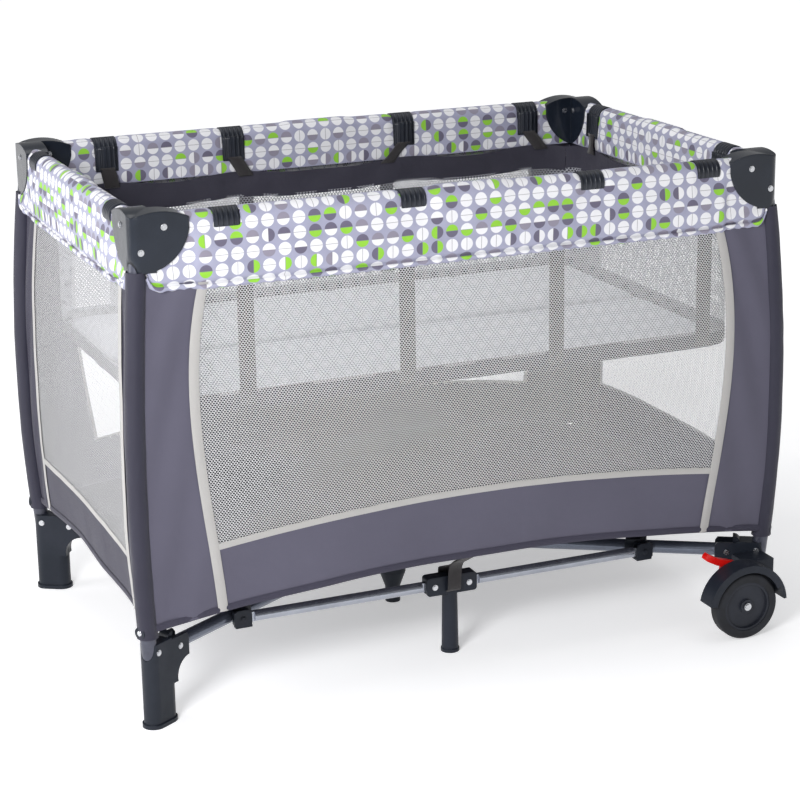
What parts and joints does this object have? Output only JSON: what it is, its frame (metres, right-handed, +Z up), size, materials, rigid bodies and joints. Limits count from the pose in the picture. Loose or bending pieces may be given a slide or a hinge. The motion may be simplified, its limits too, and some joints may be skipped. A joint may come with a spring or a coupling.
{
  "type": "travel play yard",
  "caption": "Folding travel play yard with mesh sides, a hanging bassinet, locking top rails, a central hub base and wheels with foot brakes at one end.",
  "frame": {"origin": "on the floor it stands on, under the middle of the frame", "axes": "+Z up, +X along the long side towards the end with the wheels, -Y the front"},
  "size_m": [1.0592, 0.788, 0.7609],
  "materials": {
    "post_paint": "satin powder coat",
    "cap_plastic": "polished moulding",
    "foot_plastic": "fine texture",
    "rivet_steel": "plated",
    "rail_paint": "satin powder coat",
    "lock_plastic": "fine texture",
    "button_plastic": "polished",
    "diagonal_paint": "satin powder coat",
    "side_tube_paint": "silver paint",
    "wheel_plastic": "semi gloss",
    "tyre_rubber": "moulded",
    "lever_plastic": "polished moulding",
    "wall_fabric": "woven panels with mesh windows",
    "floor_fabric": "woven",
    "cover_fabric": "printed woven cover",
    "liner_fabric": "woven bands and mesh",
    "mattress_fabric": "printed quilted pad"
  },
  "bodies": {
    "corner_front_left": {"post_front_left": "post_paint", "cap_front_left": "cap_plastic", "foot_front_left": "foot_plastic", "rivets_front_left": "rivet_steel", "wall_panels": "wall_fabric", "yard_floor": "floor_fabric", "rail_covers": "cover_fabric", "bassinet_liner": "liner_fabric"},
    "diagonal_front_left": {"diagonal_tube_front_left": "diagonal_paint"},
    "clip_front_left": {"base_clip_front_left": "foot_plastic"},
    "corner_front_right": {"post_front_right": "post_paint", "cap_front_right": "cap_plastic", "foot_front_right": "foot_plastic", "rivets_front_right": "rivet_steel"},
    "diagonal_front_right": {"diagonal_tube_front_right": "diagonal_paint"},
    "clip_front_right": {"base_clip_front_right": "foot_plastic"},
    "corner_rear_left": {"post_rear_left": "post_paint", "cap_rear_left": "cap_plastic", "foot_rear_left": "foot_plastic", "rivets_rear_left": "rivet_steel"},
    "diagonal_rear_left": {"diagonal_tube_rear_left": "diagonal_paint"},
    "clip_rear_left": {"base_clip_rear_left": "foot_plastic"},
    "corner_rear_right": {"post_rear_right": "post_paint", "cap_rear_right": "cap_plastic", "foot_rear_right": "foot_plastic", "rivets_rear_right": "rivet_steel"},
    "diagonal_rear_right": {"diagonal_tube_rear_right": "diagonal_paint"},
    "clip_rear_right": {"base_clip_rear_right": "foot_plastic"},
    "hub": {"hub": "foot_plastic"},
    "side_tube_front_left": {"side_tube_front_left": "side_tube_paint"},
    "side_tube_front_right": {"side_tube_front_right": "side_tube_paint"},
    "mid_leg_front": {"mid_leg_front": "foot_plastic"},
    "side_tube_rear_left": {"side_tube_rear_left": "side_tube_paint"},
    "side_tube_rear_right": {"side_tube_rear_right": "side_tube_paint"},
    "mid_leg_rear": {"mid_leg_rear": "foot_plastic"},
    "rail_front_left": {"rail_front_left": "rail_paint"},
    "rail_left_front": {"rail_left_front": "rail_paint"},
    "rail_front_right": {"rail_front_right": "rail_paint"},
    "rail_right_front": {"rail_right_front": "rail_paint"},
    "rail_rear_left": {"rail_rear_left": "rail_paint"},
    "rail_left_rear": {"rail_left_rear": "rail_paint"},
    "rail_rear_right": {"rail_rear_right": "rail_paint"},
    "rail_right_rear": {"rail_right_rear": "rail_paint"},
    "lock_front": {"lock_front": "lock_plastic"},
    "lock_rear": {"lock_rear": "lock_plastic"},
    "lock_left": {"lock_left": "lock_plastic"},
    "lock_right": {"lock_right": "lock_plastic"},
    "button_front": {"lock_button_front": "button_plastic"},
    "button_rear": {"lock_button_rear": "button_plastic"},
    "button_left": {"lock_button_left": "button_plastic"},
    "button_right": {"lock_button_right": "button_plastic"},
    "bassinet_base_front": {"mattress_front": "mattress_fabric"},
    "bassinet_base_rear": {"mattress_rear": "mattress_fabric"},
    "wheel_front": {"wheel_disc_front": "wheel_plastic", "tyre_front": "tyre_rubber"},
    "brake_front": {"brake_lever_front": "lever_plastic"},
    "wheel_rear": {"wheel_disc_rear": "wheel_plastic", "tyre_rear": "tyre_rubber"},
    "brake_rear": {"brake_lever_rear": "lever_plastic"}
  },
  "joints": [
    {"name": "fold", "type": "hinge", "parent": "corner_front_left", "child": "diagonal_front_left", "pos_m": [-0.46494, -0.28541, 0.112], "axis": [0.5232, -0.8522, 0], "range_deg": [0, 71.5], "deforming": ["wall_panels", "yard_floor", "rail_covers", "bassinet_liner", "mattress_front", "mattress_rear"]},
    {"name": "hub_pivot_front_left", "type": "hinge", "parent": "diagonal_front_left", "child": "hub", "pos_m": [-0.02898, -0.01779, 0.112], "axis": [0.5232, -0.8522, 0], "range_deg": [-71.5, 0]},
    {"name": "hub_pivot_rear_right", "type": "hinge", "parent": "hub", "child": "diagonal_rear_right", "pos_m": [0.02898, 0.01779, 0.112], "axis": [0.5232, -0.8522, 0], "range_deg": [-71.5, 0]},
    {"name": "foot_pivot_rear_right", "type": "hinge", "parent": "diagonal_rear_right", "child": "corner_rear_right", "pos_m": [0.46494, 0.28541, 0.112], "axis": [0.5232, -0.8522, 0], "range_deg": [0, 71.5]},
    {"name": "hub_pivot_front_right", "type": "hinge", "parent": "hub", "child": "diagonal_front_right", "pos_m": [0.02898, -0.01779, 0.112], "axis": [-0.5232, -0.8522, 0], "range_deg": [-71.5, 0]},
    {"name": "foot_pivot_front_right", "type": "hinge", "parent": "diagonal_front_right", "child": "corner_front_right", "pos_m": [0.46494, -0.28541, 0.112], "axis": [-0.5232, -0.8522, 0], "range_deg": [0, 71.5]},
    {"name": "hub_pivot_rear_left", "type": "hinge", "parent": "hub", "child": "diagonal_rear_left", "pos_m": [-0.02898, 0.01779, 0.112], "axis": [0.5232, 0.8522, 0], "range_deg": [-71.5, 0]},
    {"name": "foot_pivot_rear_left", "type": "hinge", "parent": "diagonal_rear_left", "child": "corner_rear_left", "pos_m": [-0.46494, 0.28541, 0.112], "axis": [0.5232, 0.8522, 0], "range_deg": [0, 71.5]},
    {"name": "clip_pivot_front_left", "type": "hinge", "parent": "diagonal_front_left", "child": "clip_front_left", "pos_m": [-0.34069, -0.20914, 0.112], "axis": [0.5232, -0.8522, 0], "range_deg": [-71.5, 0]},
    {"name": "clip_pivot_front_right", "type": "hinge", "parent": "diagonal_front_right", "child": "clip_front_right", "pos_m": [0.34069, -0.20914, 0.112], "axis": [-0.5232, -0.8522, 0], "range_deg": [0, 71.5]},
    {"name": "clip_pivot_rear_left", "type": "hinge", "parent": "diagonal_rear_left", "child": "clip_rear_left", "pos_m": [-0.34069, 0.20914, 0.112], "axis": [0.5232, 0.8522, 0], "range_deg": [0, 71.5]},
    {"name": "clip_pivot_rear_right", "type": "hinge", "parent": "diagonal_rear_right", "child": "clip_rear_right", "pos_m": [0.34069, 0.20914, 0.112], "axis": [0.5232, -0.8522, 0], "range_deg": [0, 71.5]},
    {"name": "side_tube_pivot_front_left", "type": "hinge", "parent": "clip_front_left", "child": "side_tube_front_left", "pos_m": [-0.34069, -0.23314, 0.112], "axis": [0, 1, 0], "range_deg": [-71.5, 0]},
    {"name": "mid_leg_pivot_front_left", "type": "hinge", "parent": "side_tube_front_left", "child": "mid_leg_front", "pos_m": [-0.02898, -0.23314, 0.112], "axis": [0, 1, 0], "range_deg": [0, 71.5]},
    {"name": "mid_leg_pivot_front_right", "type": "hinge", "parent": "mid_leg_front", "child": "side_tube_front_right", "pos_m": [0.02898, -0.23314, 0.112], "axis": [0, 1, 0], "range_deg": [0, 71.5]},
    {"name": "side_tube_pivot_rear_left", "type": "hinge", "parent": "clip_rear_left", "child": "side_tube_rear_left", "pos_m": [-0.34069, 0.23314, 0.112], "axis": [0, 1, 0], "range_deg": [-71.5, 0]},
    {"name": "mid_leg_pivot_rear_left", "type": "hinge", "parent": "side_tube_rear_left", "child": "mid_leg_rear", "pos_m": [-0.02898, 0.23314, 0.112], "axis": [0, 1, 0], "range_deg": [0, 71.5]},
    {"name": "mid_leg_pivot_rear_right", "type": "hinge", "parent": "mid_leg_rear", "child": "side_tube_rear_right", "pos_m": [0.02898, 0.23314, 0.112], "axis": [0, 1, 0], "range_deg": [0, 71.5]},
    {"name": "rail_pivot_front_left", "type": "hinge", "parent": "corner_front_left", "child": "rail_front_left", "pos_m": [-0.46297, -0.312, 0.739], "axis": [0, 1, 0], "range_deg": [0, 71.5]},
    {"name": "rail_pivot_left_front", "type": "hinge", "parent": "corner_front_left", "child": "rail_left_front", "pos_m": [-0.494, -0.28702, 0.739], "axis": [1, 0, 0], "range_deg": [-71.5, 0]},
    {"name": "rail_pivot_front_right", "type": "hinge", "parent": "corner_front_right", "child": "rail_front_right", "pos_m": [0.46297, -0.312, 0.739], "axis": [0, 1, 0], "range_deg": [-71.5, 0]},
    {"name": "rail_pivot_right_front", "type": "hinge", "parent": "corner_front_right", "child": "rail_right_front", "pos_m": [0.494, -0.28702, 0.739], "axis": [1, 0, 0], "range_deg": [-71.5, 0]},
    {"name": "rail_pivot_rear_left", "type": "hinge", "parent": "corner_rear_left", "child": "rail_rear_left", "pos_m": [-0.46297, 0.312, 0.739], "axis": [0, 1, 0], "range_deg": [0, 71.5]},
    {"name": "rail_pivot_left_rear", "type": "hinge", "parent": "corner_rear_left", "child": "rail_left_rear", "pos_m": [-0.494, 0.28702, 0.739], "axis": [1, 0, 0], "range_deg": [0, 71.5]},
    {"name": "rail_pivot_rear_right", "type": "hinge", "parent": "corner_rear_right", "child": "rail_rear_right", "pos_m": [0.46297, 0.312, 0.739], "axis": [0, 1, 0], "range_deg": [-71.5, 0]},
    {"name": "rail_pivot_right_rear", "type": "hinge", "parent": "corner_rear_right", "child": "rail_right_rear", "pos_m": [0.494, 0.28702, 0.739], "axis": [1, 0, 0], "range_deg": [0, 71.5]},
    {"name": "lock_pivot_front", "type": "hinge", "parent": "rail_front_left", "child": "lock_front", "pos_m": [-0.027, -0.312, 0.739], "axis": [0, 1, 0], "range_deg": [-71.5, 0]},
    {"name": "lock_pivot_rear", "type": "hinge", "parent": "rail_rear_left", "child": "lock_rear", "pos_m": [-0.027, 0.312, 0.739], "axis": [0, 1, 0], "range_deg": [-71.5, 0]},
    {"name": "lock_pivot_left", "type": "hinge", "parent": "rail_left_front", "child": "lock_left", "pos_m": [-0.494, -0.0194, 0.739], "axis": [1, 0, 0], "range_deg": [0, 71.5]},
    {"name": "lock_pivot_right", "type": "hinge", "parent": "rail_right_front", "child": "lock_right", "pos_m": [0.494, -0.0194, 0.739], "axis": [1, 0, 0], "range_deg": [0, 71.5]},
    {"name": "button_press_front", "type": "slide", "parent": "lock_front", "child": "button_front", "axis": [0, 0, 1], "range_m": [0, 0.004], "stiffness_N_per_m": 500, "springref_m": -0.001},
    {"name": "button_press_rear", "type": "slide", "parent": "lock_rear", "child": "button_rear", "axis": [0, 0, 1], "range_m": [0, 0.004], "stiffness_N_per_m": 500, "springref_m": -0.001},
    {"name": "button_press_left", "type": "slide", "parent": "lock_left", "child": "button_left", "axis": [0, 0, 1], "range_m": [0, 0.004], "stiffness_N_per_m": 500, "springref_m": -0.001},
    {"name": "button_press_right", "type": "slide", "parent": "lock_right", "child": "button_right", "axis": [0, 0, 1], "range_m": [0, 0.004], "stiffness_N_per_m": 500, "springref_m": -0.001},
    {"name": "bassinet_hinge_front", "type": "hinge", "parent": "corner_front_left", "child": "bassinet_base_front", "pos_m": [0, -0.276, 0.456], "axis": [1, 0, 0], "range_deg": [0, 71.5]},
    {"name": "bassinet_hinge_rear", "type": "hinge", "parent": "corner_rear_left", "child": "bassinet_base_rear", "pos_m": [0, 0.276, 0.456], "axis": [1, 0, 0], "range_deg": [-71.5, 0]},
    {"name": "wheel_spin_front", "type": "hinge", "parent": "corner_front_right", "child": "wheel_front", "pos_m": [0.4425, -0.378, 0.054], "axis": [0, 1, 0], "continuous": true},
    {"name": "brake_press_front", "type": "hinge", "parent": "corner_front_right", "child": "brake_front", "pos_m": [0.434, -0.3515, 0.112], "axis": [0, -1, 0], "range_deg": [0, 15]},
    {"name": "wheel_spin_rear", "type": "hinge", "parent": "corner_rear_right", "child": "wheel_rear", "pos_m": [0.4425, 0.378, 0.054], "axis": [0, 1, 0], "continuous": true},
    {"name": "brake_press_rear", "type": "hinge", "parent": "corner_rear_right", "child": "brake_rear", "pos_m": [0.434, 0.3515, 0.112], "axis": [0, -1, 0], "range_deg": [0, 15]}
  ],
  "couplings": [
    {"joint": "hub_pivot_front_left", "follows": "fold", "ratio": -1},
    {"joint": "hub_pivot_rear_right", "follows": "fold", "ratio": -1},
    {"joint": "foot_pivot_rear_right", "follows": "fold", "ratio": 1},
    {"joint": "hub_pivot_front_right", "follows": "fold", "ratio": -1},
    {"joint": "foot_pivot_front_right", "follows": "fold", "ratio": 1},
    {"joint": "hub_pivot_rear_left", "follows": "fold", "ratio": -1},
    {"joint": "foot_pivot_rear_left", "follows": "fold", "ratio": 1},
    {"joint": "clip_pivot_front_left", "follows": "fold", "ratio": -1},
    {"joint": "clip_pivot_front_right", "follows": "fold", "ratio": 1},
    {"joint": "clip_pivot_rear_left", "follows": "fold", "ratio": 1},
    {"joint": "clip_pivot_rear_right", "follows": "fold", "ratio": 1},
    {"joint": "side_tube_pivot_front_left", "follows": "fold", "ratio": -1},
    {"joint": "mid_leg_pivot_front_left", "follows": "fold", "ratio": 1},
    {"joint": "mid_leg_pivot_front_right", "follows": "fold", "ratio": 1},
    {"joint": "side_tube_pivot_rear_left", "follows": "fold", "ratio": -1},
    {"joint": "mid_leg_pivot_rear_left", "follows": "fold", "ratio": 1},
    {"joint": "mid_leg_pivot_rear_right", "follows": "fold", "ratio": 1},
    {"joint": "rail_pivot_front_left", "follows": "fold", "ratio": 1},
    {"joint": "rail_pivot_left_front", "follows": "fold", "ratio": -1},
    {"joint": "rail_pivot_front_right", "follows": "fold", "ratio": -1},
    {"joint": "rail_pivot_right_front", "follows": "fold", "ratio": -1},
    {"joint": "rail_pivot_rear_left", "follows": "fold", "ratio": 1},
    {"joint": "rail_pivot_left_rear", "follows": "fold", "ratio": 1},
    {"joint": "rail_pivot_rear_right", "follows": "fold", "ratio": -1},
    {"joint": "rail_pivot_right_rear", "follows": "fold", "ratio": 1},
    {"joint": "lock_pivot_front", "follows": "fold", "ratio": -1},
    {"joint": "lock_pivot_rear", "follows": "fold", "ratio": -1},
    {"joint": "lock_pivot_left", "follows": "fold", "ratio": 1},
    {"joint": "lock_pivot_right", "follows": "fold", "ratio": 1},
    {"joint": "bassinet_hinge_front", "follows": "fold", "ratio": 1},
    {"joint": "bassinet_hinge_rear", "follows": "fold", "ratio": -1}
  ]
}
